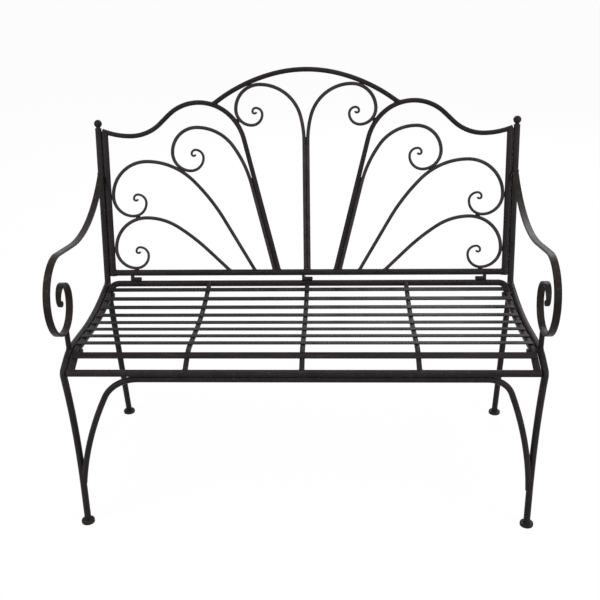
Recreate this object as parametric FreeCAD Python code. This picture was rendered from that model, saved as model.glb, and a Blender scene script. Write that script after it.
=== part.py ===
import FreeCAD, Part
import math
import os

# Two-seat metal garden bench of bent steel tube, flat bar and scrolled rod.
# +X runs to the right as seen from the front, the front faces -Y and +Z is up.
# The origin is on the floor, under the middle of the bench.
# All lengths are millimetres and all angles degrees.

# Side frames
side_spacing = 1060.0       # between the middles of the two side frames
frame_tube = 16.0           # outside of the side frame and seat frame tubes
frame_wall = 1.5
seat_depth = 451.0          # front seat rail to the bend of the rear posts
post_bend_drop = 0.5        # bend of the posts below the front seat rail
post_bend_radius = 120.0
post_rise = 6.8             # posts above the tops of the back uprights
rear_leg_rake = 9.4         # rear legs slope back towards the floor
back_lean = 11.8            # posts and back lean back from upright
knee_radius = 12.0
leg_top_slant = 12.8        # front legs leave the knee sloping back
leg_sweep_radius = 1170.0
leg_sweep_angle = 15.8      # how far the front leg turns on its way down

# Feet and finials
foot_diameter = 32.0
foot_height = 7.0
foot_edge = 2.5
plug_length = 14.0          # feet and finials are plugged into the tubes
plug_clearance = 0.3
ball_diameter = 20.0
collar_diameter = 17.0
collar_height = 2.0
neck_diameter = 11.0
neck_height = 1.5

# Armrests
arm_width = 16.0
arm_thickness = 6.0
arm_edge = 1.8              # rounding of the bar's edges
arm_above_seat = 297.9      # where the bar leaves the post, above the front seat rail
arm_start_slope = 33.7
arm_sag_radius = 428.0
arm_sag_angle = 45.5
arm_overhang = 37.44        # front of the loop ahead of the front seat rail
arm_brow_radius = 100.0
arm_brow_angle = 46.3
arm_nose_radius = 81.5
arm_scroll_radius = 93.5    # first quarter turn of the front scroll
arm_scroll_shares = (1.0, 0.633, 0.492)         # of that radius, a quarter turn each up to the top
arm_curl_shares = (0.2995, 0.1604, 0.0481)      # from the top down to the rolled tip
arm_curl_end_angle = 200.0
arm_tip_width = 6.5         # the bar is drawn out thinner from the top of the scroll
arm_tip_thickness = 4.0
strut_rod = 12.0
strut_behind_loop = 9.0     # strut behind the lowest point of the loop

# Front stretcher
stretcher_tube = 14.0
stretcher_wall = 1.2
stretcher_left_inset = 166.0        # start of the bend, from the side frame
stretcher_left_radius = 90.0
stretcher_left_angle = 64.0
stretcher_left_end_angle = 80.0     # where it meets the leg
stretcher_right_inset = 123.0
stretcher_right_radius = 59.0
stretcher_right_angle = 69.0
stretcher_right_end_angle = 85.0
stretcher_lap = 5.0         # how far the middle of the stretcher runs into the leg

# Seat
seat_front_height = 430.5   # middle of the front seat rail
seat_side_gap = 1.0         # seat frame to side frame
roll_slope = 20.0           # rolled front of the seat
roll_length = 42.0
crest_radius = 103.0
seat_fall_angle = 7.1       # seat falls back from the crest
dish_radius = 820.0
rear_rise_angle = 6.5
rear_run = 64.5             # straight part of the seat in front of the rear rail
rear_corner_radius = 16.0
slat_width = 16.0
front_slat_width = 18.0
slat_thickness = 2.5
slat_edge = 0.6
slat_overhang = 4.0         # slat past the middle of the side rail
front_slat_along = 44.0     # from the front rail, measured along the seat
last_slat_inset = 48.0      # last slat in front of the rear rail, along the seat
slat_count = 8              # narrow slats behind the front one
support_tube = 12.0
support_wall = 1.2
support_spacing = 258.0

# Back
back_tube = 16.0
back_wall = 1.2
back_side_gap = 0.3         # uprights to posts
back_hinge_gap = 1.3        # bottom rail above the hinge barrels
upright_height = 368.0      # bottom rail to the end of the wave tube, along the back
crest_tube = 12.0
crest_wall = 1.2
wave_start_slope = 19.8
wave_dip_radius = 195.0
wave_rise_radius = 112.0
wave_rise_angle = 43.4
wave_run = 30.0
wave_crest_radius = 113.0
wave_crest_angle = 86.3
wave_shoulder_radius = 126.0
wave_shoulder_angle = 33.4
arch_rise = 78.4            # top of the arch above the crests of the wave tubes
arch_top_radius = 337.0
arch_top_angle = 14.0
arch_end_radius = 417.0

# Scroll rods: the stem bends gently, then round a shoulder, and ends in a curl of quarter turns
scroll_rod = 9.0
scroll_tip = 5.5
curl_end_angle = 160.0
centre_rod_gap = 0.5        # between the two middle rods
ray_rod_gap = 0.6           # between the second rod and the wave tube
first_stem_radius = 248.0
first_stem_angle = 14.8
first_shoulder_radius = 106.0
first_curl_radius = 61.0
first_curl_shares = (1.0, 0.6492, 0.4443, 0.2623, 0.14, 0.085)
second_stem_radius = 286.0
second_stem_angle = 21.8
second_shoulder_radius = 113.0
second_curl_radius = 63.8
second_curl_shares = (1.0, 0.7179, 0.5235, 0.3119, 0.16, 0.0815)
third_rise_angle = 60.2     # rise of the straight part of the stem
third_stem_radius = 490.0
third_stem_angle = 15.0
third_shoulder_radius = 167.0
third_curl_radius = 90.8
third_curl_shares = (1.0, 0.5516, 0.3844, 0.2345, 0.115, 0.0575)
fourth_rise_angle = 44.4
fourth_stem_radius = 525.0
fourth_stem_angle = 10.9
fourth_shoulder_radius = 150.0
fourth_curl_radius = 83.4
fourth_curl_shares = (1.0, 0.5993, 0.409, 0.2589, 0.122, 0.0624)

# Hinges between the back and the seat
hinge_inset = 78.0          # outer hinges, from the side frames
barrel_diameter = 10.0
barrel_length = 20.0
lug_thickness = 7.0
pin_diameter = 6.0
pin_proud = 1.0

# Bolts and studs
bolt_diameter = 6.0
bolt_clearance = 0.3
bolt_head_flats = 10.0
bolt_head_height = 4.5
front_bolt_along = 68.0     # from the front rail, measured along the seat
rear_bolt_inset = 58.0      # in front of the rear rail
washer_diameter = 12.0
washer_thickness = 1.2
insert_diameter = 9.0
insert_length = 12.0
stud_length = 14.0
low_stud_height = 40.0      # above the bottom rail, along the back
high_stud_drop = 68.0       # below the top of the uprights

weld_gap = 0.2              # joint line left between welded pieces

side_x = side_spacing / 2
frame_r = frame_tube / 2
back_r = back_tube / 2
crest_r = crest_tube / 2
rod_r = scroll_rod / 2
support_r = support_tube / 2
stretcher_r = stretcher_tube / 2
pin_r = pin_diameter / 2
barrel_r = barrel_diameter / 2
bolt_r = bolt_diameter / 2
plug_r = frame_r - frame_wall - plug_clearance
seat_x = side_x - frame_tube - seat_side_gap
upright_x = side_x - frame_r - back_side_gap - back_r
hinge_x = side_x - hinge_inset
post_bend_height = seat_front_height - post_bend_drop
arm_joint_height = seat_front_height + arm_above_seat
first_stem = (first_stem_radius, first_stem_angle, first_shoulder_radius)
second_stem = (second_stem_radius, second_stem_angle, second_shoulder_radius)
third_stem = (third_stem_radius, third_stem_angle, third_shoulder_radius)
fourth_stem = (fourth_stem_radius, fourth_stem_angle, fourth_shoulder_radius)
arm_scroll_radii = [arm_scroll_radius * share for share in arm_scroll_shares]
arm_curl_radii = [arm_scroll_radius * share for share in arm_curl_shares]
first_curl = [first_curl_radius * share for share in first_curl_shares]
second_curl = [second_curl_radius * share for share in second_curl_shares]
third_curl = [third_curl_radius * share for share in third_curl_shares]
fourth_curl = [fourth_curl_radius * share for share in fourth_curl_shares]
far = 4 * side_spacing      # longer than anything on the bench
X_AXIS = FreeCAD.Vector(1, 0, 0)
Z_AXIS = FreeCAD.Vector(0, 0, 1)


def sin(angle):
    return math.sin(math.radians(angle))


def cos(angle):
    return math.cos(math.radians(angle))


def tan(angle):
    return math.tan(math.radians(angle))


def trace(start, heading, steps):
    """Follow straight runs (length,) and bends (radius, turn) in a plane, each tangent to the last.

    A positive turn is to the left. Returns the pieces, each a list of 2 or 3 points, the end
    point and the end heading."""
    pieces = []
    here = start
    for step in steps:
        if len(step) == 1:
            end = (here[0] + step[0] * cos(heading), here[1] + step[0] * sin(heading))
            pieces.append([here, end])
        else:
            radius, turn = step
            side = math.copysign(radius, turn)
            centre = (here[0] - side * sin(heading), here[1] + side * cos(heading))
            stops = []
            for share in (0.5, 1.0):
                now = heading + share * turn
                stops.append((centre[0] + side * sin(now), centre[1] - side * cos(now)))
            pieces.append([here] + stops)
            end = stops[1]
            heading = heading + turn
        here = end
    return pieces, here, heading


def spine(pieces, place):
    """Turn traced pieces into a wire, with place() taking a flat point to its place in space."""
    edges = []
    for piece in pieces:
        points = [place(point) for point in piece]
        if len(points) == 2:
            edges.append(Part.makeLine(points[0], points[1]))
        else:
            edges.append(Part.Arc(points[0], points[1], points[2]).toShape())
    return Part.Wire(edges)


def wire_ends(wire):
    """Start and end of a wire, each as a point and the direction along the wire."""
    first, last = wire.Edges[0], wire.Edges[-1]
    begin, end = first.FirstParameter, last.LastParameter
    return (first.valueAt(begin), first.tangentAt(begin)), (last.valueAt(end), last.tangentAt(end))


def rod(wire, radius):
    """Solid round bar along a wire."""
    start, along = wire_ends(wire)[0]
    ring = Part.Wire(Part.makeCircle(radius, start, along))
    return wire.makePipeShell([ring], True, False)


def tube(wire, diameter, wall):
    """Round tube along a wire, open at both ends."""
    return rod(wire, diameter / 2).cut(rod(wire, diameter / 2 - wall))


def drawn_out(wire, start_section, end_section):
    """Solid bar along a wire that tapers from one section to the other."""
    bar = Part.BRepOffsetAPI.MakePipeShell(wire)
    bar.add(start_section)
    bar.add(end_section)
    bar.build()
    bar.makeSolid()
    return bar.shape()


def straight(start, end, radius):
    """Solid cylinder between two points."""
    axis = end.sub(start)
    return Part.makeCylinder(radius, axis.Length, start, axis)


def biggest(shape):
    """The largest solid left after a cut."""
    return max(shape.Solids, key=lambda solid: solid.Volume)


def cope(shape, *cutters):
    """Shape the ends of a piece to the pieces that it is welded to."""
    for cutter in cutters:
        shape = shape.cut(cutter)
    return biggest(shape)


def mirrored(shape):
    return shape.mirror(FreeCAD.Vector(), X_AXIS)


def beside(point):
    """Place a (y, z) point on the right side frame."""
    return FreeCAD.Vector(side_x, point[0], point[1])


# Seat profile, seen from the side: roll, crest, straight run, dish and a straight rear end
def seat_steps(run, offset):
    return [
        (roll_length,),
        (crest_radius + offset, -roll_slope - seat_fall_angle),
        (run,),
        (dish_radius - offset, seat_fall_angle + rear_rise_angle),
        (rear_run,),
    ]


def seat_profile(run, offset):
    """Trace of the seat from the front rail to the rear, offset upwards."""
    start = (-offset * sin(roll_slope), seat_front_height + offset * cos(roll_slope))
    return trace(start, roll_slope, seat_steps(run, offset))


without_run = seat_profile(0.0, 0.0)[1]
seat_run = (seat_depth - without_run[0]) / cos(seat_fall_angle)


def step_length(step):
    if len(step) == 1:
        return step[0]
    return step[0] * math.radians(abs(step[1]))


def seat_point(along):
    """Point and slope of the seat profile at a length along it."""
    here = (0.0, seat_front_height)
    heading = roll_slope
    for step in seat_steps(seat_run, 0.0):
        share = min(along / step_length(step), 1.0)
        if len(step) == 1:
            part = (share * step[0],)
        else:
            part = (step[0], share * step[1])
        here, heading = trace(here, heading, [part])[1:]
        along = along - step_length(step)
        if along <= 0:
            break
    return here, heading


seat_length = sum(step_length(step) for step in seat_steps(seat_run, 0.0))
slat_pitch = (seat_length - last_slat_inset - front_slat_along) / slat_count
seat_pieces, seat_rear, rear_heading = seat_profile(seat_run, 0.0)
rear_along = FreeCAD.Vector(0, cos(rear_heading), sin(rear_heading))


# The back rises from above the hinges, in line with the posts
pin_point = (seat_rear[0], seat_rear[1] + frame_r + weld_gap + barrel_r)
back_rail_height = pin_point[1] + barrel_r + back_hinge_gap + back_r


def post_y(height):
    """Middle of the posts and back at a height above their bend."""
    return seat_depth + (height - post_bend_height) * tan(back_lean)


def back_point(along):
    """The (y, z) point of the back at a length up from the bottom rail."""
    return (post_y(back_rail_height) + along * sin(back_lean), back_rail_height + along * cos(back_lean))


# Rear posts, from the rear foot over the bend to the finial
post_top = back_point(upright_height)[1] + post_rise
post_turn = rear_leg_rake + back_lean
post_setback = post_bend_radius * tan(post_turn / 2)
rear_foot_y = seat_depth + (post_bend_height - foot_height) * tan(rear_leg_rake)
rear_leg_run = post_bend_height / cos(rear_leg_rake) - post_setback
post_pieces, post_end = trace(
    (seat_depth + post_bend_height * tan(rear_leg_rake), 0.0),
    90 + rear_leg_rake,
    [
        (rear_leg_run,),
        (post_bend_radius, -post_turn),
        ((post_top - post_bend_height) / cos(back_lean) - post_setback,),
    ],
)[:2]
post_wire = spine(post_pieces, beside)
post_cutter = rod(post_wire, frame_r + weld_gap)
floor_cutter = Part.makeBox(far, far, far, FreeCAD.Vector(-far / 2, -far / 2, foot_height - far))

# Front leg and side rail: one tube from the post along the seat, over the knee and down
knee_turn = 90 + leg_top_slant - roll_slope
knee_setback = knee_radius * tan(knee_turn / 2)
foot_slant = leg_top_slant - leg_sweep_angle
leg_steps = [
    (rear_run,),
    (dish_radius, -seat_fall_angle - rear_rise_angle),
    (seat_run,),
    (crest_radius, roll_slope + seat_fall_angle),
    (roll_length - knee_setback,),
    (knee_radius, knee_turn),
    (leg_sweep_radius, -leg_sweep_angle),
]
sweep_end = trace(seat_rear, 180 + rear_heading, leg_steps)[1]
leg_run = sweep_end[1] / cos(foot_slant)
leg_pieces, leg_end = trace(seat_rear, 180 + rear_heading, leg_steps + [(leg_run,)])[:2]
front_foot_y = leg_end[0] - foot_height * tan(foot_slant)
leg_wire = spine(leg_pieces, beside)
leg_cutter = rod(leg_wire, frame_r + weld_gap)

# Armrest bar: down from the post, forward over the brow and round into the scroll
arm_heading = 180 + arm_start_slope
nose_turn = 90 - arm_start_slope + arm_sag_angle - arm_brow_angle
arm_rear_steps = [(frame_r,), (arm_sag_radius, -arm_sag_angle)]
arm_front_steps = [(arm_brow_radius, arm_brow_angle), (arm_nose_radius, nose_turn)]
arm_start = (post_y(arm_joint_height), arm_joint_height)
short_front = trace(arm_start, arm_heading, arm_rear_steps + arm_front_steps)[1]
arm_run = (short_front[0] + arm_overhang) / cos(arm_sag_angle - arm_start_slope)
arm_steps = arm_rear_steps + [(arm_run,)] + arm_front_steps
arm_steps += [(radius, 90.0) for radius in arm_scroll_radii]
arm_pieces, arm_top, arm_top_heading = trace(arm_start, arm_heading, arm_steps)
arm_wire = spine(arm_pieces, beside)
arm_curl_steps = [(radius, 90.0) for radius in arm_curl_radii[:-1]]
arm_curl_steps.append((arm_curl_radii[-1], arm_curl_end_angle))
arm_curl_wire = spine(trace(arm_top, arm_top_heading, arm_curl_steps)[0], beside)
arm_front = arm_pieces[5][0]
arm_bottom = arm_pieces[6][0]


def bar_section(start, along, wide, thick, edge):
    """Rounded rectangle across a bar that starts at a point, wide along X."""
    depth = X_AXIS.cross(along)
    corners = []
    for a, b in ((-1, -1), (1, -1), (1, 1), (-1, 1)):
        corners.append(start + X_AXIS * (a * wide / 2) + depth * (b * thick / 2))
    sides = []
    for i in range(4):
        here, after = corners[i], corners[(i + 1) % 4]
        step = (after - here).normalize() * edge
        sides.append((here + step, after - step))
    edges = []
    for i in range(4):
        tip = corners[(i + 1) % 4]
        centre = tip + (sides[i][1] - tip) + (sides[(i + 1) % 4][0] - tip)
        middle = centre + (tip - centre).normalize() * edge
        edges.append(Part.makeLine(sides[i][0], sides[i][1]))
        edges.append(Part.Arc(sides[i][1], middle, sides[(i + 1) % 4][0]).toShape())
    return Part.Wire(edges)


def arm_bar(extra):
    """Even part of the armrest, larger by extra all round when it is used to shape its neighbours."""
    start, along = wire_ends(arm_wire)[0]
    section = bar_section(start, along, arm_width + 2 * extra, arm_thickness + 2 * extra, arm_edge + extra)
    return arm_wire.makePipeShell([section], True, False)


def arm_curl():
    """End of the armrest, drawn out from the top of the scroll to the rolled tip."""
    (top, top_along), (tip, tip_along) = wire_ends(arm_curl_wire)
    wide_end = bar_section(top, top_along, arm_width, arm_thickness, arm_edge)
    tip_end = bar_section(tip, tip_along, arm_tip_width, arm_tip_thickness, arm_edge)
    return drawn_out(arm_curl_wire, wide_end, tip_end)


# Wave tubes of the back, traced inwards from the uprights and down to the bottom rail
wave_end_u = upright_x + back_r - crest_r * sin(wave_start_slope)
wave_steps = [
    ((wave_end_u - upright_x) / cos(wave_start_slope),),
    (wave_dip_radius, -wave_start_slope),
    (wave_rise_radius, -wave_rise_angle),
    (wave_run,),
    (wave_crest_radius, wave_crest_angle),
    (wave_shoulder_radius, wave_shoulder_angle),
]
wave_start = (wave_end_u, upright_height + (wave_end_u - upright_x) * tan(wave_start_slope))
wave_outer = (wave_start[0] + crest_tube, wave_start[1] + crest_tube * tan(wave_start_slope))
ray_top, ray_heading = trace(wave_start, 180 + wave_start_slope, wave_steps)[1:]
ray_slope = ray_heading - 180
ray_run = ray_top[1] / sin(ray_slope)
wave_pieces, ray_foot = trace(wave_start, 180 + wave_start_slope, wave_steps + [(ray_run,)])[:2]
crest_heading = 180 - wave_rise_angle
crest_start = wave_pieces[4][0]
crest_centre = (
    crest_start[0] - wave_crest_radius * sin(crest_heading),
    crest_start[1] + wave_crest_radius * cos(crest_heading),
)

# Arch of the back, traced outwards until it meets the crest of the wave tube
arch_height = crest_centre[1] + wave_crest_radius + arch_rise
arch_centre = (
    (arch_top_radius - arch_end_radius) * sin(arch_top_angle),
    arch_height - arch_top_radius + (arch_top_radius - arch_end_radius) * cos(arch_top_angle),
)
crest_out = crest_centre[0] - arch_centre[0]
crest_up = crest_centre[1] - arch_centre[1]
crest_away = math.hypot(crest_out, crest_up)
meet_along = (crest_away ** 2 + arch_end_radius ** 2 - wave_crest_radius ** 2) / (2 * crest_away)
meet_turn = math.degrees(math.atan2(crest_out, crest_up) - math.acos(meet_along / arch_end_radius))
arch_steps = [(arch_top_radius, -arch_top_angle), (arch_end_radius, arch_top_angle - meet_turn)]
arch_pieces = trace((0.0, arch_height), 0.0, arch_steps)[0]

# Depth of the whole bench, to put the origin under its middle
front_reach = min(arm_front[0] - arm_thickness / 2, front_foot_y - foot_diameter / 2)
rear_reach = max(back_point(arch_height)[0] + crest_r, rear_foot_y + foot_diameter / 2)
to_middle = FreeCAD.Vector(0, -(front_reach + rear_reach) / 2, 0)
os.makedirs("parts", exist_ok=True)


def keep(name, shape):
    """Write one named piece, or a group of like pieces."""
    shape.translated(to_middle).exportStep("parts/" + name + ".step")


def keep_pair(name, shape):
    """Write the right hand piece and its mirror image on the left."""
    keep("right_" + name, shape)
    keep("left_" + name, mirrored(shape))


# Screw places: along the seat, and up the back
seat_bolt_places = (front_bolt_along, seat_length - rear_bolt_inset)
seat_bolt_points = [seat_point(along)[0] for along in seat_bolt_places]


def across(point, x_from, x_to, radius):
    """Cylinder along X at a (y, z) point."""
    start = FreeCAD.Vector(x_from, point[0], point[1])
    return straight(start, FreeCAD.Vector(x_to, point[0], point[1]), radius)


insert_hole_r = insert_diameter / 2 + bolt_clearance / 2
bolt_hole_r = bolt_r + bolt_clearance
seat_insert_holes = [across(p, side_x - frame_tube, side_x, insert_hole_r) for p in seat_bolt_points]
seat_bolt_holes = [across(p, seat_x - frame_tube, side_x, bolt_hole_r) for p in seat_bolt_points]
stud_points = [back_point(low_stud_height), back_point(upright_height - high_stud_drop)]
stud_holes = [across(p, upright_x, side_x, bolt_hole_r) for p in stud_points]


# Side frame pieces
post_bore = rod(post_wire, frame_r - frame_wall)
post = rod(post_wire, frame_r).cut(post_bore).cut(floor_cutter)
for hole in stud_holes:
    post = post.cut(hole)
keep_pair("rear_post", biggest(post))

leg_bore = rod(leg_wire, frame_r - frame_wall)
leg = rod(leg_wire, frame_r).cut(leg_bore).cut(floor_cutter)
for hole in seat_insert_holes:
    leg = leg.cut(hole)
keep_pair("front_leg", cope(leg, post_cutter))

keep_pair("armrest", cope(arm_bar(0.0).fuse(arm_curl()).removeSplitter(), post_cutter))

strut_y = arm_bottom[0] + strut_behind_loop
strut_top = FreeCAD.Vector(side_x, strut_y, arm_bottom[1] + arm_scroll_radii[1])
strut_foot = FreeCAD.Vector(side_x, strut_y, seat_front_height - frame_tube)
strut_parts = straight(strut_foot, strut_top, strut_rod / 2).cut(arm_bar(weld_gap)).cut(leg_cutter)
strut_middle = (arm_bottom[1] + seat_front_height + frame_tube) / 2
strut = min(strut_parts.Solids, key=lambda solid: abs(solid.CenterOfMass.z - strut_middle))
keep_pair("armrest_strut", strut)


# Feet: domed discs with a plug up the leg
def foot(centre_y, slant):
    """Disc foot under a leg that leans by slant as it rises."""
    base = FreeCAD.Vector(side_x, centre_y, 0)
    disc = Part.makeCylinder(foot_diameter / 2, foot_height, base)
    top_edges = [edge for edge in disc.Edges if edge.BoundBox.ZMin > foot_height / 2]
    disc = disc.makeFillet(foot_edge, top_edges)
    up = FreeCAD.Vector(0, -sin(slant), cos(slant))
    plug_start = base + Z_AXIS * (foot_height / 2)
    plug = straight(plug_start, plug_start + up * (plug_length + foot_height / 2), plug_r)
    return disc.fuse(plug).removeSplitter()


keep_pair("front_foot", foot(front_foot_y, foot_slant))
keep_pair("rear_foot", foot(rear_foot_y, rear_leg_rake))

# Finials: a ball on a neck and collar, with a plug down the post
post_up = FreeCAD.Vector(0, sin(back_lean), cos(back_lean))
collar_base = beside(post_end)
ball_base = collar_base + post_up * collar_height
ball_centre = ball_base + post_up * (neck_height + ball_diameter / 2)
finial = Part.makeCylinder(collar_diameter / 2, collar_height, collar_base, post_up)
finial = finial.fuse(straight(ball_base, ball_centre, neck_diameter / 2))
finial = finial.fuse(Part.makeSphere(ball_diameter / 2, ball_centre))
plug_end = collar_base - post_up * plug_length
finial = finial.fuse(straight(plug_end, collar_base, plug_r))
keep_pair("finial", finial.removeSplitter())

# Seat frame: front rail, rear rail with round corners, and a rail down each side
front_rail_start = FreeCAD.Vector(-seat_x - frame_r, 0, seat_front_height)
front_rail_end = FreeCAD.Vector(seat_x + frame_r, 0, seat_front_height)
front_rail_wire = Part.Wire(Part.makeLine(front_rail_start, front_rail_end))
front_rail_cutter = rod(front_rail_wire, frame_r + weld_gap)
keep("seat_front_rail", tube(front_rail_wire, frame_tube, frame_wall))

corner_x = seat_x - rear_corner_radius
rear_right = FreeCAD.Vector(corner_x, seat_rear[0], seat_rear[1])
corner_centre = rear_right - rear_along * rear_corner_radius
corner_middle = corner_centre + (X_AXIS + rear_along).normalize() * rear_corner_radius
corner_end = corner_centre + X_AXIS * rear_corner_radius
flip = FreeCAD.Matrix()
flip.A11 = -1
rear_rail_wire = Part.Wire([
    Part.Arc(flip * corner_end, flip * corner_middle, flip * rear_right).toShape(),
    Part.makeLine(flip * rear_right, rear_right),
    Part.Arc(rear_right, corner_middle, corner_end).toShape(),
])
rear_rail_cutter = rod(rear_rail_wire, frame_r + weld_gap)
keep("seat_rear_rail", biggest(tube(rear_rail_wire, frame_tube, frame_wall)))


def inside(point):
    """Place a (y, z) point on the right side rail of the seat."""
    return FreeCAD.Vector(seat_x, point[0], point[1])


side_rail_pieces = seat_pieces[:-1] + [[seat_pieces[-1][0], (corner_end.y, corner_end.z)]]
side_rail_wire = spine(side_rail_pieces, inside)
side_rail = tube(side_rail_wire, frame_tube, frame_wall)
butt_cutter = Part.makeCylinder(frame_tube, frame_tube, corner_end - rear_along * weld_gap, rear_along)
for hole in seat_bolt_holes:
    side_rail = side_rail.cut(hole)
keep_pair("seat_rail", cope(side_rail, front_rail_cutter, butt_cutter))

# Seat supports under the slats, and the slats across them
support_pieces = seat_profile(seat_run, frame_r - support_r)[0]


def support(x):
    """Lengthwise tube from the front rail to the rear rail."""
    wire = spine(support_pieces, lambda point: FreeCAD.Vector(x, point[0], point[1]))
    return cope(tube(wire, support_tube, support_wall), front_rail_cutter, rear_rail_cutter)


keep("seat_support_left", support(-support_spacing))
keep("seat_support_middle", support(0.0))
keep("seat_support_right", support(support_spacing))


def slat(along, width):
    """Flat bar across the seat, lying on the side rails and supports."""
    here, slope = seat_point(along)
    half = seat_x + slat_overhang
    lift = frame_r + weld_gap
    bar = Part.makeBox(2 * half, width, slat_thickness, FreeCAD.Vector(-half, -width / 2, lift))
    bar = bar.makeFillet(slat_edge, [edge for edge in bar.Edges if edge.Length > half])
    bar.rotate(FreeCAD.Vector(), X_AXIS, slope)
    return bar.translated(FreeCAD.Vector(0, here[0], here[1]))


keep("seat_front_slat", slat(front_slat_along, front_slat_width))
for number in range(1, slat_count + 1):
    keep("seat_slat_" + str(number), slat(front_slat_along + number * slat_pitch, slat_width))

# Front stretcher: under the front rail, then down to both front legs
stretcher_drop = frame_r + weld_gap + stretcher_r
leg_samples = Part.Wire(leg_wire.Edges[-3:]).discretize(Number=200)


def leg_y(height):
    """Middle of the front leg at a height."""
    return min(leg_samples, key=lambda point: abs(point.z - height)).y


def stretcher_half(inset, radius, turn, end_slope):
    """Trace of one half of the stretcher, from the middle out into the leg."""
    steps = [(side_x - inset,), (radius, -turn)]
    here = trace((0.0, 0.0), 0.0, steps)[1]
    sweep_width = side_x - frame_r + stretcher_lap - here[0]
    sweep_radius = sweep_width / (sin(end_slope) - sin(turn))
    return trace((0.0, 0.0), 0.0, steps + [(sweep_radius, turn - end_slope)])[:2]


left_pieces, left_end = stretcher_half(
    stretcher_left_inset, stretcher_left_radius, stretcher_left_angle, stretcher_left_end_angle
)
right_pieces, right_end = stretcher_half(
    stretcher_right_inset, stretcher_right_radius, stretcher_right_angle, stretcher_right_end_angle
)
stretcher_fall = -(left_end[1] + right_end[1]) / 2
stretcher_shift = leg_y(seat_front_height - stretcher_drop - stretcher_fall)
stretcher_tilt = math.degrees(math.atan2(stretcher_shift, stretcher_fall))
stretcher_top = FreeCAD.Vector(0, 0, seat_front_height - stretcher_drop)


def stretcher_place(side):
    """Place half of the stretcher in its tilted plane, on one side."""
    def place(point):
        return FreeCAD.Vector(
            side * point[0],
            stretcher_top.y - point[1] * sin(stretcher_tilt),
            stretcher_top.z + point[1] * cos(stretcher_tilt),
        )
    return place


left_half = tube(spine(left_pieces, stretcher_place(-1)), stretcher_tube, stretcher_wall)
right_half = tube(spine(right_pieces, stretcher_place(1)), stretcher_tube, stretcher_wall)
left_half = cope(left_half, mirrored(leg_cutter))
right_half = cope(right_half, leg_cutter)
keep("front_stretcher", cope(left_half.fuse(right_half).removeSplitter(), front_rail_cutter))


# Back panel
def panel(point):
    """Place a point of the back, given across and up from the middle of the bottom rail."""
    y, z = back_point(point[1])
    return FreeCAD.Vector(point[0], y, z)


back_rail_wire = spine([[(-upright_x, 0.0), (upright_x, 0.0)]], panel)
back_rail_cutter = rod(back_rail_wire, back_r + weld_gap)
upright_wire = spine([[(upright_x, -back_r), (upright_x, upright_height)]], panel)
upright_cutter = rod(upright_wire, back_r + weld_gap)

wave_wire = spine(wave_pieces, panel)
wave_cutter = rod(spine([[wave_outer, wave_start]] + wave_pieces, panel), crest_r + weld_gap)

upright = tube(upright_wire, back_tube, back_wall)
for hole in stud_holes:
    upright = upright.cut(hole)
keep_pair("back_upright", cope(upright, wave_cutter))
back_rail = cope(tube(back_rail_wire, back_tube, back_wall), upright_cutter, mirrored(upright_cutter))
keep("back_bottom_rail", back_rail)
keep_pair("back_wave_tube", cope(tube(wave_wire, crest_tube, crest_wall), back_rail_cutter))

arch_right = spine(arch_pieces, panel)
arch_cutter = rod(arch_right, crest_r + weld_gap)
arch_piece = cope(tube(arch_right, crest_tube, crest_wall), wave_cutter)
keep("back_top_arch", arch_piece.fuse(mirrored(arch_piece)).removeSplitter())


# Scroll rods, each traced both ways from the top of its curve
def scroll(top, stem, stem_slope, curl):
    """Rod from the bottom rail up its stem and over the top into a tapering curl."""
    stem_radius, stem_turn, shoulder_radius = stem
    steps = [(shoulder_radius, stem_slope - stem_turn), (stem_radius, stem_turn)]
    here = trace(top, 180.0, steps)[1]
    foot_run = here[1] / sin(stem_slope)
    pieces = trace(top, 180.0, steps + [(foot_run,)])[0]
    stem_pieces = [piece[::-1] for piece in pieces[::-1]]
    curl_steps = [(radius, -90.0) for radius in curl[:-1]] + [(curl[-1], -curl_end_angle)]
    curl_pieces = trace(top, 0.0, curl_steps)[0]
    even = rod(spine(stem_pieces + curl_pieces[:1], panel), rod_r)
    taper_wire = spine(curl_pieces[1:], panel)
    thick_end, thin_end = wire_ends(taper_wire)
    thick = Part.Wire(Part.makeCircle(rod_r, *thick_end))
    thin = Part.Wire(Part.makeCircle(scroll_tip / 2, *thin_end))
    return even.fuse(drawn_out(taper_wire, thick, thin)).removeSplitter()


def stem_reach(stem, stem_slope):
    """How far the top of a rod stands out and up from the start of its stem bends."""
    stem_radius, stem_turn, shoulder_radius = stem
    steps = [(stem_radius, -stem_turn), (shoulder_radius, stem_turn - stem_slope)]
    return trace((0.0, 0.0), stem_slope, steps)[1]


rod_step = scroll_rod + weld_gap
outer_u = upright_x - back_r - weld_gap - rod_r

# The fourth rod touches the upright and the bottom rail
fourth_top = (outer_u - fourth_curl[0], back_r + weld_gap + rod_r + fourth_curl[0] + fourth_curl[1])

# The third touches the upright and stands on the fourth
third_u = outer_u - third_curl[0]
third_side = outer_u - third_curl[1] - fourth_top[0]
third_reach = fourth_curl[0] + third_curl[2] + rod_step
third_rise = math.sqrt(third_reach ** 2 - third_side ** 2)
third_low = fourth_top[1] - fourth_curl[0] + third_rise
third_top = (third_u, third_low - third_curl[2] + third_curl[1] + third_curl[0])

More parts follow.
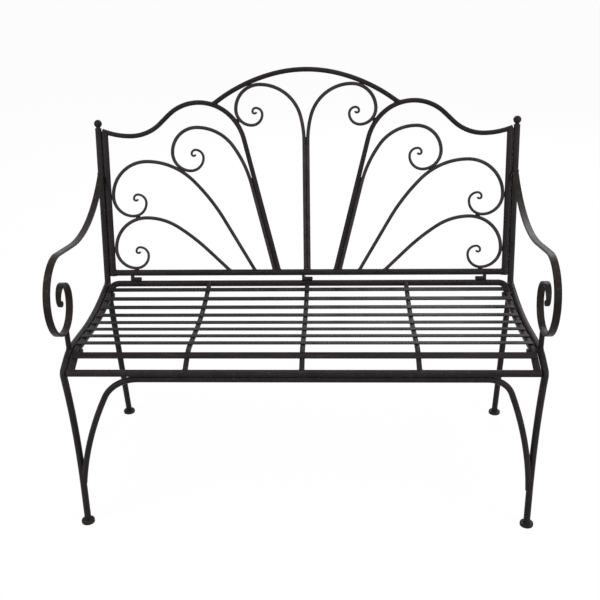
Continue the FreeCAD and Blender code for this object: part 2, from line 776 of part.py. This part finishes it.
# The second runs up beside the wave tube and stands on the shoulder of the third
ray_offset = crest_r + ray_rod_gap + rod_r
second_foot = ray_foot[0] + ray_offset / sin(ray_slope)
second_out, second_up = stem_reach(second_stem, ray_slope)
shoulder = (third_top[0], third_top[1] - third_stem[2])
touch = third_stem[2] + second_curl[2] + rod_step
low_u = second_foot + second_out + second_curl[0] - second_curl[1] - shoulder[0]
low_w = second_up - second_curl[0] - second_curl[1] + second_curl[2] - shoulder[1]
half_b = low_u * cos(ray_slope) + low_w * sin(ray_slope)
second_run = -half_b + math.sqrt(half_b ** 2 - low_u ** 2 - low_w ** 2 + touch ** 2)
second_top = (
    second_foot + second_run * cos(ray_slope) + second_out,
    second_run * sin(ray_slope) + second_up,
)

# The first stands beside the middle and touches the arch
first_out = stem_reach(first_stem, 90.0)[0]
first_u = centre_rod_gap / 2 + rod_r + first_out
arch_inner = arch_end_radius - crest_r - weld_gap - rod_r - first_curl[0]
first_w = arch_centre[1] + math.sqrt(arch_inner ** 2 - (first_u - arch_centre[0]) ** 2) + first_curl[0]

fourth_rod = scroll(fourth_top, fourth_stem, fourth_rise_angle, fourth_curl)
third_rod = scroll(third_top, third_stem, third_rise_angle, third_curl)
second_rod = scroll(second_top, second_stem, ray_slope, second_curl)
first_rod = scroll((first_u, first_w), first_stem, 90.0, first_curl)
keep_pair("scroll_rod_4", cope(fourth_rod, back_rail_cutter, upright_cutter))
keep_pair("scroll_rod_3", cope(third_rod, back_rail_cutter, upright_cutter, fourth_rod))
keep_pair("scroll_rod_2", cope(second_rod, back_rail_cutter, wave_cutter, third_rod))
keep_pair("scroll_rod_1", cope(first_rod, back_rail_cutter, wave_cutter, arch_cutter))

# Hinges: barrels on the rear seat rail, lugs under the back and pins through both
barrels = []
lugs = []
pins = []
for place_x, lug_side in ((-hinge_x, -1), (0.0, -1), (hinge_x, 1)):
    middle_x = place_x - lug_side * lug_thickness / 2
    near = middle_x + lug_side * barrel_length / 2
    lug_near = near + lug_side * weld_gap
    lug_far = lug_near + lug_side * lug_thickness
    barrel = across(pin_point, middle_x - barrel_length / 2, middle_x + barrel_length / 2, barrel_r)
    bore = across(pin_point, middle_x - barrel_length, middle_x + barrel_length, pin_r + weld_gap)
    barrels.append(barrel.cut(bore))
    lug = across(pin_point, lug_near, lug_far, barrel_r)
    lug = lug.fuse(across(back_point(0.0), lug_near, lug_far, barrel_r))
    rise_y = back_point(0.0)[0] - pin_point[0]
    rise_z = back_point(0.0)[1] - pin_point[1]
    rise = math.hypot(rise_y, rise_z)
    web_start = FreeCAD.Vector(min(lug_near, lug_far), -barrel_r, 0)
    web = Part.makeBox(lug_thickness, barrel_diameter, rise, web_start)
    web.rotate(FreeCAD.Vector(), X_AXIS, math.degrees(math.atan2(-rise_y, rise_z)))
    lug = lug.fuse(web.translated(FreeCAD.Vector(0, pin_point[0], pin_point[1]))).removeSplitter()
    pin_hole = across(pin_point, middle_x - far, middle_x + far, pin_r + weld_gap)
    lugs.append(cope(lug, back_rail_cutter, rear_rail_cutter, pin_hole))
    pins.append(across(pin_point, lug_far, middle_x - lug_side * (barrel_length / 2 + pin_proud), pin_r))
keep("hinge_barrels", Part.makeCompound(barrels))
keep("hinge_lugs", Part.makeCompound(lugs))
keep("hinge_pins", Part.makeCompound(pins))


# Fixings: hexagon bolts from inside the seat rails, studs between the posts and the back
def both_sides(shapes):
    return Part.makeCompound(shapes + [mirrored(shape) for shape in shapes])


seat_bolts = []
seat_washers = []
seat_inserts = []
for point in seat_bolt_points:
    washer_x = seat_x - frame_r - weld_gap
    head_x = washer_x - washer_thickness
    insert_x = side_x - frame_r - seat_side_gap / 2
    washer = across(point, washer_x - washer_thickness, washer_x, washer_diameter / 2)
    seat_washers.append(washer.cut(across(point, 0.0, side_x, bolt_hole_r)))
    head_r = bolt_head_flats / 2 / cos(30.0)
    corners = []
    for corner in range(7):
        angle = 60.0 * corner
        corner_y = point[0] + head_r * cos(angle)
        corner_z = point[1] + head_r * sin(angle)
        corners.append(FreeCAD.Vector(head_x, corner_y, corner_z))
    head = Part.Face(Part.makePolygon(corners)).extrude(X_AXIS * -bolt_head_height)
    shank = across(point, head_x, insert_x + insert_length, bolt_r)
    seat_bolts.append(head.fuse(shank).removeSplitter())
    sleeve = across(point, insert_x, insert_x + insert_length, insert_diameter / 2)
    seat_inserts.append(sleeve.cut(across(point, 0.0, far, bolt_r + weld_gap / 2)))
keep("seat_bolts", both_sides(seat_bolts))
keep("seat_bolt_washers", both_sides(seat_washers))
keep("seat_bolt_inserts", both_sides(seat_inserts))

gap_middle = side_x - frame_r - back_side_gap / 2
stud_from, stud_to = gap_middle - stud_length / 2, gap_middle + stud_length / 2
keep("back_studs", both_sides([across(point, stud_from, stud_to, bolt_r) for point in stud_points]))
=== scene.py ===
import bpy
import bmesh
from math import atan2, cos, hypot, pi, radians, sin
from mathutils import Matrix, Vector
from mathutils.bvhtree import BVHTree


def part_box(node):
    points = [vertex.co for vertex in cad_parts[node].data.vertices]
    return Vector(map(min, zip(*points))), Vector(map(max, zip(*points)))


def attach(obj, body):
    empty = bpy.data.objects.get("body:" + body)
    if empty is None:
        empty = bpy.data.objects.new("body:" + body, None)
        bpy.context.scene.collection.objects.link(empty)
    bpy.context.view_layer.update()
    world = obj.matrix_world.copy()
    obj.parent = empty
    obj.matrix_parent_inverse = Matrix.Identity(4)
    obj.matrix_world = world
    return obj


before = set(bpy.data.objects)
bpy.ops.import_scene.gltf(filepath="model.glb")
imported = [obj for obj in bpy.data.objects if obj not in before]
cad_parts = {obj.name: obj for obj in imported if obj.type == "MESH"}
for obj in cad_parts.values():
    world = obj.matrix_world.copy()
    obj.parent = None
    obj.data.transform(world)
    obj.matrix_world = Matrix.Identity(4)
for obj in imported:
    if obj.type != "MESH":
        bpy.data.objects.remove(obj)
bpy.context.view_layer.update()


# Side frames: rear posts, front legs and the rods that hold up the armrests.
# They are mild steel tube, bent cold, welded, and powder coated after welding in one go.
# The coat is baked polyester, near black with a little brown in it, and nearly matt.
sides = ("left", "right")
coat_skin_mm = 1.6          # under 1 mm on a real coat, and drawn coarser, to show at all


def linear(code):
    """sRGB hex colour as linear light."""
    parts = [int(code[start:start + 2], 16) / 255 for start in (1, 3, 5)]
    light = [part / 12.92 if part <= 0.04045 else ((part + 0.055) / 1.055) ** 2.4 for part in parts]
    return light + [1.0]


def add_node(tree, kind, settings, inputs):
    """Add a node, with its settings, and its inputs as values or links."""
    made = tree.nodes.new(kind)
    for name, value in settings.items():
        setattr(made, name, value)
    for name, value in inputs.items():
        if isinstance(value, bpy.types.NodeSocket):
            tree.links.new(value, made.inputs[name])
        else:
            made.inputs[name].default_value = value
    return made


def powder_coat(name, deep, pale, rubbed, cloud_mm, rubbed_mm, roughness, top_wear,
                stretch=(1.0, 1.0, 1.0)):
    """Baked powder coat: cloudy tone, rubbed flecks, most on top, and the fine skin of melted powder."""
    material = bpy.data.materials.new(name)
    material.use_nodes = True
    tree = material.node_tree
    tree.nodes.clear()
    where = add_node(tree, "ShaderNodeTexCoord", {}, {})
    lie = add_node(tree, "ShaderNodeMapping", {}, {"Vector": where.outputs["Object"], "Scale": stretch})
    # Noise lies mostly between 0.3 and 0.7, so tone and shine change over that range.
    cloud = add_node(tree, "ShaderNodeTexNoise", {}, {
        "Vector": lie.outputs["Vector"], "Scale": 1000 / cloud_mm, "Detail": 5.0, "Roughness": 0.62})
    tone = add_node(tree, "ShaderNodeValToRGB", {}, {"Fac": cloud.outputs["Fac"]})
    tone.color_ramp.elements[0].position = 0.33
    tone.color_ramp.elements[0].color = linear(deep)
    tone.color_ramp.elements[1].position = 0.7
    tone.color_ramp.elements[1].color = linear(pale)
    # Only the peaks of the finer noise are rubbed, and more of them on faces that look up.
    fleck = add_node(tree, "ShaderNodeTexNoise", {}, {
        "Vector": lie.outputs["Vector"], "Scale": 1000 / rubbed_mm, "Detail": 6.0, "Roughness": 0.7})
    facing = add_node(tree, "ShaderNodeSeparateXYZ", {}, {"Vector": where.outputs["Normal"]})
    upward = add_node(tree, "ShaderNodeMapRange", {}, {
        "Value": facing.outputs["Z"], "From Min": 0.4, "From Max": 0.95, "To Min": 0.0, "To Max": top_wear})
    wear = add_node(tree, "ShaderNodeMath", {"operation": "ADD"}, {
        0: fleck.outputs["Fac"], 1: upward.outputs["Result"]})
    worn = add_node(tree, "ShaderNodeMapRange", {}, {
        "Value": wear.outputs[0], "From Min": 0.58, "From Max": 0.74, "To Min": 0.0, "To Max": 0.85})
    colour = add_node(tree, "ShaderNodeMix", {"data_type": "RGBA"}, {
        0: worn.outputs["Result"], 6: tone.outputs["Color"], 7: linear(rubbed)})
    matt = add_node(tree, "ShaderNodeMapRange", {}, {
        "Value": cloud.outputs["Fac"], "From Min": 0.3, "From Max": 0.7,
        "To Min": roughness - 0.06, "To Max": roughness + 0.08})
    gloss = add_node(tree, "ShaderNodeMath", {"operation": "MULTIPLY_ADD"}, {
        0: worn.outputs["Result"], 1: -0.12, 2: matt.outputs["Result"]})
    grain = add_node(tree, "ShaderNodeTexNoise", {}, {
        "Vector": where.outputs["Object"], "Scale": 1000 / coat_skin_mm, "Detail": 3.0, "Roughness": 0.55})
    skin = add_node(tree, "ShaderNodeBump", {}, {
        "Strength": 0.5, "Distance": 0.0003, "Height": grain.outputs["Fac"]})
    # Polyester has an IOR of 1.5; the photograph shows little of its shine, so most of it is turned down.
    shader = add_node(tree, "ShaderNodeBsdfPrincipled", {}, {
        "Base Color": colour.outputs[2], "Roughness": gloss.outputs[0], "Normal": skin.outputs["Normal"],
        "IOR": 1.5, "Specular IOR Level": 0.06})
    add_node(tree, "ShaderNodeOutputMaterial", {}, {"Surface": shader.outputs["BSDF"]})
    return material


def finish_node(material, *names):
    """Give CAD nodes a finish."""
    for name in names:
        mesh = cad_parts[name].data
        mesh.materials.clear()
        mesh.materials.append(material)


tube_coat = powder_coat("powder_coat_on_tube", "#221F20", "#312D2E", "#473F3A",
                        cloud_mm=70.0, rubbed_mm=9.0, roughness=0.38, top_wear=0.04)
for side in sides:
    finish_node(tube_coat, side + "_rear_post", side + "_front_leg", side + "_armrest_strut")


# Feet and finials: turned steel discs under the legs and balls on the posts, welded on.
# They get handled and scraped, so their coat is rubbed paler in more places.
turned_coat = powder_coat("powder_coat_on_turned_steel", "#221F1F", "#312D2D", "#4D443D",
                          cloud_mm=26.0, rubbed_mm=5.0, roughness=0.36, top_wear=0.05)
for side in sides:
    finish_node(turned_coat, side + "_front_foot", side + "_rear_foot", side + "_finial")


# Armrests: flat bar with rounded edges, rolled into a loop and an inner curl that is drawn out thinner.
# Hands polish the coat, so it is a little smoother here, with warm rubbed patches along the bar.
bar_coat = powder_coat("powder_coat_on_flat_bar", "#201C1C", "#2F2929", "#483E39",
                       cloud_mm=48.0, rubbed_mm=12.0, roughness=0.36, top_wear=0.06)
for side in sides:
    finish_node(bar_coat, side + "_armrest")


# Front stretcher: one tube under the seat's front rail, bent down at both ends and laid against the legs.
# It is welded to the legs and tacked to the rail, and coated with them.
finish_node(tube_coat, "front_stretcher")


# Weld beads of the side frames: short runs of filler where each tube meets the next.
# The bead swells and narrows along its run, as the puddle does, and is coated with the rest.
weld_coat = powder_coat("powder_coat_on_weld", "#221F20", "#312D2E", "#443C38",
                        cloud_mm=12.0, rubbed_mm=4.0, roughness=0.46, top_wear=0.04)
tube_bead = 0.0015          # radius of the heavier beads
rod_bead = 0.0012           # radius of the lighter ones
bead_sides = 8
narrow_share = 0.8          # of the radius, where the bead narrows
end_share = 0.45            # of the radius, where it stops
stitch_shares = (-1.0, -0.5, 0.0, 0.5, 1.0)     # points of a short bead, in shares of half its length


def lay_bead(bm, line, bead, closed):
    """Lay a rippled bead of filler along points."""
    rings = []
    count = len(line)
    for i, here in enumerate(line):
        before = line[i - 1] if i or closed else here
        after = line[(i + 1) % count] if i < count - 1 or closed else here
        turn = (after - before).to_track_quat("Z", "Y").to_matrix().to_4x4()
        size = bead if i % 2 else narrow_share * bead
        if not closed and i in (0, count - 1):
            size = end_share * bead
        place = Matrix.Translation(here) @ turn
        verts = bmesh.ops.create_circle(bm, segments=bead_sides, radius=size, matrix=place)["verts"]
        rings.append([bm.edges.get(ends) for ends in zip(verts, verts[1:] + verts[:1])])
    pairs = list(zip(rings, rings[1:]))
    if closed:
        pairs.append((rings[-1], rings[0]))
    for one, other in pairs:
        bmesh.ops.bridge_loops(bm, edges=one + other)
    if not closed:
        bmesh.ops.edgeloop_fill(bm, edges=rings[0])
        bmesh.ops.edgeloop_fill(bm, edges=rings[-1])


def surface(name):
    """Outside of a CAD node, to measure from."""
    return BVHTree.FromObject(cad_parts[name], bpy.context.evaluated_depsgraph_get())


def seam(piece, carrier, lapped):
    """Edge of a piece where it is set on its carrier, as points in order round it."""
    joint_gap = 0.0005          # a point this near the carrier is on the joint
    joint_reach = 0.03          # points further off show which way the piece runs
    run_points = 40             # how many of the nearest of those are averaged
    half_turn_parts = 18        # the outermost point in each part of a turn is kept
    ripple = 0.0018             # least step from point to point
    outside = surface(carrier)
    spots = []
    axis = Vector()
    places = [vert.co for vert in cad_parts[piece].data.vertices]
    for place in places:
        normal = outside.find_nearest(place, joint_gap)[1]
        if normal:
            spots.append(place)
            axis += normal
    middle = sum(spots, Vector()) / len(spots)
    if not lapped:
        beyond = [place for place in places if (place - middle).length > joint_reach]
        beyond.sort(key=lambda place: (place - middle).length)
        axis = sum(beyond[:run_points], Vector()) / run_points - middle
    wide = axis.orthogonal().normalized()
    tall = axis.normalized().cross(wide)
    edge = {}
    for spot in spots:
        across = (spot - middle).dot(wide)
        up = (spot - middle).dot(tall)
        part = round(atan2(up, across) * half_turn_parts / pi) % (2 * half_turn_parts)
        if part not in edge or hypot(across, up) > edge[part][0]:
            edge[part] = (hypot(across, up), spot)
    line = []
    for part in sorted(edge):
        spot = edge[part][1]
        if all((spot - other).length > ripple for other in line[-1:] + line[:1]):
            line.append(spot)
    return line


def touching(first, second, near):
    """Place near a point where two surfaces come closest, the direction across the gap, and the gap."""
    rounds = 12                 # of steps to the second surface and back to the first
    spot = near
    for _ in range(rounds):
        spot = first.find_nearest(second.find_nearest(spot)[0])[0]
    opposite, normal, _, gap = second.find_nearest(spot)
    return (spot + opposite) / 2, normal, gap


def lay_stitch(bm, one, other, near, front, half, stand, bead):
    """Lay a short bead on both faces of the place where two pieces touch."""
    spot, across = touching(surface(one), surface(other), near)[:2]
    along = across.cross(front).normalized()
    for face in (-1, 1):
        middle = spot + front * (face * stand)
        lay_bead(bm, [middle + along * (half * share) for share in stitch_shares], bead, False)


def weld_piece(name, bm):
    """Make the beads one piece, coated and fixed to the bench."""
    bmesh.ops.recalc_face_normals(bm, faces=bm.faces[:])
    mesh = bpy.data.meshes.new(name)
    bm.to_mesh(mesh)
    bm.free()
    mesh.shade_smooth()
    mesh.materials.append(weld_coat)
    piece = bpy.data.objects.new(name, mesh)
    bpy.context.scene.collection.objects.link(piece)
    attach(piece, "root")


bm = bmesh.new()
for side in sides:
    for piece, carrier in ((side + "_front_leg", side + "_rear_post"),
                           (side + "_armrest", side + "_rear_post"),
                           (side + "_armrest_strut", side + "_front_leg"),
                           (side + "_armrest_strut", side + "_armrest"),
                           (side + "_front_leg", side + "_front_foot"),
                           (side + "_rear_post", side + "_rear_foot")):
        lay_bead(bm, seam(piece, carrier, False), tube_bead, True)
    lay_bead(bm, seam("front_stretcher", side + "_front_leg", True), tube_bead, True)
weld_piece("side_frame_welds", bm)


# Seat frame: front rail, side rails, rear rail with bent corners, and three lengthwise supports.
# It is welded up as one tray of tube and hangs between the side frames.
side_rails = ("left_seat_rail", "right_seat_rail")
cross_rails = ("seat_front_rail", "seat_rear_rail")
supports = ("seat_support_left", "seat_support_middle", "seat_support_right")
finish_node(tube_coat, *cross_rails, *side_rails, *supports)


# Slats: flat strip, cut to length and laid across the tray.
# Rolled strip carries faint streaks along its length, and sitting rubs its upper face a little.
slats = ["seat_front_slat"] + ["seat_slat_" + str(number) for number in range(1, 9)]
streaks = (0.12, 1.0, 1.0)      # draws the tone out along X, as the slats lie
slat_coat = powder_coat("powder_coat_on_strip", "#1E1C1D", "#2A2829", "#3D3737",
                        cloud_mm=40.0, rubbed_mm=8.0, roughness=0.42, top_wear=0.07, stretch=streaks)
finish_node(slat_coat, *slats)


# Weld beads of the seat: rings where tubes meet, and short tacks under the slats and at their ends.
# The stretcher is tacked under the front rail as well.
bm = bmesh.new()
for tubes, bead in ((side_rails, tube_bead), (supports, rod_bead)):
    for tube in tubes:
        for rail in cross_rails:
            lay_bead(bm, seam(tube, rail, False), bead, True)

tack_bead = 0.0011
tack_depth = 0.0006         # below the top of the tube
tack_side = 0.0035          # from the middle of the tube
tack_rise = tack_bead / 3   # above the top of the tube, at the end of a slat
tack_share = 0.39           # of the slat's width, half the length of a tack
rightward = Vector((1, 0, 0))
for tube in side_rails + supports:
    outside = surface(tube)
    tube_low, tube_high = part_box(tube)
    tube_x = (tube_low.x + tube_high.x) / 2
    for slat in slats:
        slat_low, slat_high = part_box(slat)
        middle = (slat_low + slat_high) / 2
        middle.x = tube_x
        top = outside.find_nearest(middle)[0]
        up = (middle - top).normalized()
        along = rightward.cross(up) * (tack_share * (slat_high.y - slat_low.y))
        spots = [top - up * tack_depth + rightward * shift for shift in (-tack_side, tack_side)]
        for end_x in (slat_low.x, slat_high.x):
            if tube_low.x < end_x < tube_high.x:
                spots = [spot for spot in spots if abs(spot.x) < abs(tube_x)]
                spots.append(Vector((end_x, top.y, top.z)) + up * tack_rise)
        for spot in spots:
            lay_bead(bm, [spot + along * share for share in stitch_shares], tack_bead, False)

backward = Vector((0, 1, 0))
stretcher_stitch_half = 0.012
stretcher_stitch_stand = 0.004      # in front of and behind the line where the tubes touch
stretcher_stitch_shares = (0.3, 0.5, 0.7)       # of the front rail's length
rail_low, rail_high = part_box("seat_front_rail")
for share in stretcher_stitch_shares:
    near = rail_low.lerp(rail_high, share)
    near.z = rail_low.z
    lay_stitch(bm, "front_stretcher", "seat_front_rail", near, backward,
               stretcher_stitch_half, stretcher_stitch_stand, tube_bead)
weld_piece("seat_welds", bm)


# Bolts that hold the seat to the side frames, with hexagon heads on the inner side, washers and inserts.
# They, the studs of the back and the pins of the hinges are steel, plated with black zinc.
# The plating blooms in patches of a few millimetres, which vary in tone and shine.
plate_bloom_mm = 4.0
plate = bpy.data.materials.new("black_zinc_plated_steel")
plate.use_nodes = True
tree = plate.node_tree
tree.nodes.clear()
where = add_node(tree, "ShaderNodeTexCoord", {}, {})
bloom = add_node(tree, "ShaderNodeTexNoise", {}, {
    "Vector": where.outputs["Object"], "Scale": 1000 / plate_bloom_mm, "Detail": 4.0, "Roughness": 0.6})
tint = add_node(tree, "ShaderNodeValToRGB", {}, {"Fac": bloom.outputs["Fac"]})
tint.color_ramp.elements[0].position = 0.35
tint.color_ramp.elements[0].color = linear("#1C1B1B")
tint.color_ramp.elements[1].position = 0.68
tint.color_ramp.elements[1].color = linear("#343231")
dull = add_node(tree, "ShaderNodeMapRange", {}, {
    "Value": bloom.outputs["Fac"], "From Min": 0.3, "From Max": 0.7, "To Min": 0.38, "To Max": 0.55})
shader = add_node(tree, "ShaderNodeBsdfPrincipled", {}, {
    "Base Color": tint.outputs["Color"], "Roughness": dull.outputs["Result"], "Metallic": 1.0})
add_node(tree, "ShaderNodeOutputMaterial", {}, {"Surface": shader.outputs["BSDF"]})
finish_node(plate, "seat_bolts", "seat_bolt_washers", "seat_bolt_inserts", "back_studs", "hinge_pins")


# Back frame: bottom rail and uprights of the heavier tube, wave tubes and top arch of the lighter one.
# The wave tubes run from the bottom rail up as slanting rays, over a crest and down to the uprights.
finish_node(tube_coat, "back_bottom_rail", "back_top_arch")
for side in sides:
    finish_node(tube_coat, side + "_back_upright", side + "_back_wave_tube")


# Scroll rods: solid round bar, bent over at the top and drawn out thin into the curls.
# Their coat is a little paler than on the tubes.
rod_coat = powder_coat("powder_coat_on_round_bar", "#302D2F", "#464143", "#5A5250",
                       cloud_mm=34.0, rubbed_mm=7.0, roughness=0.4, top_wear=0.04)
scroll_rods = {side: [side + "_scroll_rod_" + str(number) for number in range(1, 5)] for side in sides}
for side in sides:
    finish_node(rod_coat, *scroll_rods[side])


# Weld beads of the back: rings at the feet of rods and tubes, and stitches where rods touch.
# A stitch is looked for near a rough place, given across and up the back from the middle of its bottom rail.
back_lean = radians(11.8)
back_front = Vector((0, -cos(back_lean), sin(back_lean)))
rail_low, rail_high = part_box("back_bottom_rail")
rail_middle = (rail_low + rail_high) / 2
stitch_half = 0.006
stitch_stand = 0.0026       # in front of and behind the middles of the rods

# Melted powder runs into the hairline gaps between rods that lie side by side, and closes them.
widest_bridge = 0.001
bridge_bead = 0.0008
bridge_step = 0.004
most_bridge_points = 120
bridge_start_up = 0.01      # above the middle of the bottom rail
ray_foot_across = 0.08      # from the middle of the back


def on_back(across, up):
    """Place on the back, across and up from the middle of its bottom rail."""
    return rail_middle + Vector((across, up * sin(back_lean), up * cos(back_lean)))


def close_gap(bm, one, other, near):
    """Bridge the hairline gap between two rods side by side, from their feet up to where they part."""
    first = surface(one)
    second = surface(other)
    line = []
    gap = 0.0
    while gap < widest_bridge and len(line) < most_bridge_points:
        spot, across, gap = touching(first, second, near)
        line.append(spot)
        along = across.cross(back_front).normalized()
        near = spot + along * (bridge_step if along.z > 0 else -bridge_step)
    lay_bead(bm, line, bridge_bead, False)


bm = bmesh.new()
close_gap(bm, "left_scroll_rod_1", "right_scroll_rod_1", on_back(0.0, bridge_start_up))
for sign, side in zip((-1, 1), sides):
    near = on_back(sign * ray_foot_across, bridge_start_up)
    close_gap(bm, side + "_scroll_rod_2", side + "_back_wave_tube", near)
for sign, side in zip((-1, 1), sides):
    upright = side + "_back_upright"
    wave = side + "_back_wave_tube"
    rods = scroll_rods[side]
    for piece, carrier in (("back_bottom_rail", upright), (upright, wave), (wave, "back_bottom_rail"),
                           ("back_top_arch", wave)):
        lay_bead(bm, seam(piece, carrier, False), tube_bead, True)
    for rod in rods:
        lay_bead(bm, seam(rod, "back_bottom_rail", False), rod_bead, True)
    for rod, other, across, up in ((rods[0], "back_top_arch", 0.14, 0.48), (rods[0], wave, 0.17, 0.39),
                                   (rods[1], wave, 0.09, 0.06), (rods[1], wave, 0.13, 0.2),
                                   (rods[1], rods[2], 0.32, 0.27), (rods[2], rods[3], 0.44, 0.15),
                                   (rods[2], upright, 0.51, 0.2), (rods[3], upright, 0.51, 0.06),
                                   (rods[3], "back_bottom_rail", 0.45, 0.01)):
        near = on_back(sign * across, up)
        lay_stitch(bm, rod, other, near, back_front, stitch_half, stitch_stand, rod_bead)
for up in (0.12, 0.25):
    lay_stitch(bm, "left_scroll_rod_1", "right_scroll_rod_1", on_back(0.0, up), back_front,
               stitch_half, stitch_stand, rod_bead)
weld_piece("back_welds", bm)


# Hinges: barrels on the seat's rear rail and lugs under the back, with a pin through both.
# They are turned and cut from bar, welded in place and coated over.
finish_node(turned_coat, "hinge_barrels", "hinge_lugs")
barrel_stitch_half = 0.008
barrel_stitch_stand = 0.0033        # in front of and behind the line where barrel and rail touch
lug_stitch_half = 0.003
lug_stitch_stand = 0.0045           # the same for lug and rail
bm = bmesh.new()
barrel_low, barrel_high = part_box("hinge_barrels")
for x in (barrel_low.x, 0.0, barrel_high.x):
    near = Vector((x, barrel_low.y, barrel_low.z))
    lay_stitch(bm, "hinge_barrels", "seat_rear_rail", near, backward,
               barrel_stitch_half, barrel_stitch_stand, rod_bead)
    lay_stitch(bm, "hinge_lugs", "back_bottom_rail", near, backward,
               lug_stitch_half, lug_stitch_stand, rod_bead)
weld_piece("hinge_welds", bm)


# Floor: a plain white sweep under the bench. It looks white to the eye and to reflections,
# and still takes a soft shadow from the feet and the seat.
floor_half = 30.0
floor_glow = 0.945          # the lamps bring it the rest of the way to white


def looked_at(tree):
    """1 for rays that the eye follows, straight, mirrored or through glass, and 0 for others."""
    path = add_node(tree, "ShaderNodeLightPath", {}, {})
    seen = add_node(tree, "ShaderNodeMath", {"operation": "MAXIMUM"}, {
        0: path.outputs["Is Camera Ray"], 1: path.outputs["Is Glossy Ray"]})
    either = add_node(tree, "ShaderNodeMath", {"operation": "MAXIMUM"}, {
        0: seen.outputs[0], 1: path.outputs["Is Transmission Ray"]})
    return either.outputs[0]


bm = bmesh.new()
bmesh.ops.create_grid(bm, x_segments=2, y_segments=2, size=floor_half)
mesh = bpy.data.meshes.new("floor")
bm.to_mesh(mesh)
bm.free()
floor = bpy.data.objects.new("floor", mesh)
bpy.context.scene.collection.objects.link(floor)
paper = bpy.data.materials.new("white_paper_sweep")
paper.use_nodes = True
tree = paper.node_tree
tree.nodes.clear()
white = add_node(tree, "ShaderNodeMath", {"operation": "MULTIPLY"}, {0: looked_at(tree), 1: floor_glow})
matt = add_node(tree, "ShaderNodeBsdfDiffuse", {}, {"Color": linear("#4A4A4A")})
bright = add_node(tree, "ShaderNodeEmission", {}, {"Strength": white.outputs[0]})
both = add_node(tree, "ShaderNodeAddShader", {}, {0: matt.outputs[0], 1: bright.outputs[0]})
add_node(tree, "ShaderNodeOutputMaterial", {}, {"Surface": both.outputs[0]})
mesh.materials.append(paper)


# Studio: a white room, a wide soft light from above, and three soft boxes,
# at the front left, at the front right and behind.
room_fill = 0.03            # light that the room itself sheds on surfaces
world = bpy.data.worlds.new("studio")
bpy.context.scene.world = world
world.use_nodes = True
tree = world.node_tree
tree.nodes.clear()
level = add_node(tree, "ShaderNodeMapRange", {}, {
    "Value": looked_at(tree), "From Min": 0.0, "From Max": 1.0, "To Min": room_fill, "To Max": 1.0})
room = add_node(tree, "ShaderNodeBackground", {}, {
    "Color": linear("#FFFFFF"), "Strength": level.outputs["Result"]})
add_node(tree, "ShaderNodeOutputWorld", {}, {"Surface": room.outputs[0]})

overhead = bpy.data.lights.new("overhead", "SUN")
overhead.energy = 1.3
overhead.angle = radians(48.0)
light = bpy.data.objects.new("overhead", overhead)
light.rotation_euler = (radians(12.5), 0.0, 0.0)
bpy.context.scene.collection.objects.link(light)
box_size = 1.8
seat_middle = Vector((0.0, 0.0, 0.5))
for name, place, power in (("left_box", (-2.6, -2.4, 1.2), 60.0),
                           ("right_box", (2.8, -2.0, 1.1), 62.0),
                           ("back_box", (0.8, 2.6, 2.2), 40.0)):
    lamp = bpy.data.lights.new(name, "AREA")
    lamp.shape = "SQUARE"
    lamp.size = box_size
    lamp.energy = power
    box = bpy.data.objects.new(name, lamp)
    box.location = place
    box.rotation_euler = (seat_middle - Vector(place)).to_track_quat("-Z", "Y").to_euler()
    bpy.context.scene.collection.objects.link(box)


# Camera: from the front, a little right of the middle and above, looking down at the seat.
# Its place, its turn and its lens are those fitted to the photograph.
eye = (0.07713, -2.01743, 1.44365)
yaw = radians(-2.53)
pitch = radians(25.453)
tilt = radians(1.223)
forward = Vector((sin(yaw) * cos(pitch), cos(yaw) * cos(pitch), -sin(pitch)))
level_right = Vector((cos(yaw), -sin(yaw), 0.0))
level_down = forward.cross(level_right)
right = level_right * cos(tilt) + level_down * sin(tilt)
down = level_down * cos(tilt) - level_right * sin(tilt)
lens = bpy.data.cameras.new("camera")
lens.sensor_width = 36.0
lens.lens = 55.2
lens.clip_end = 100.0
camera = bpy.data.objects.new("camera", lens)
turn = Matrix((right, -down, -forward)).transposed().to_4x4()
camera.matrix_world = Matrix.Translation(eye) @ turn
bpy.context.scene.collection.objects.link(camera)
bpy.context.scene.camera = camera
bpy.context.scene.view_settings.view_transform = "Standard"
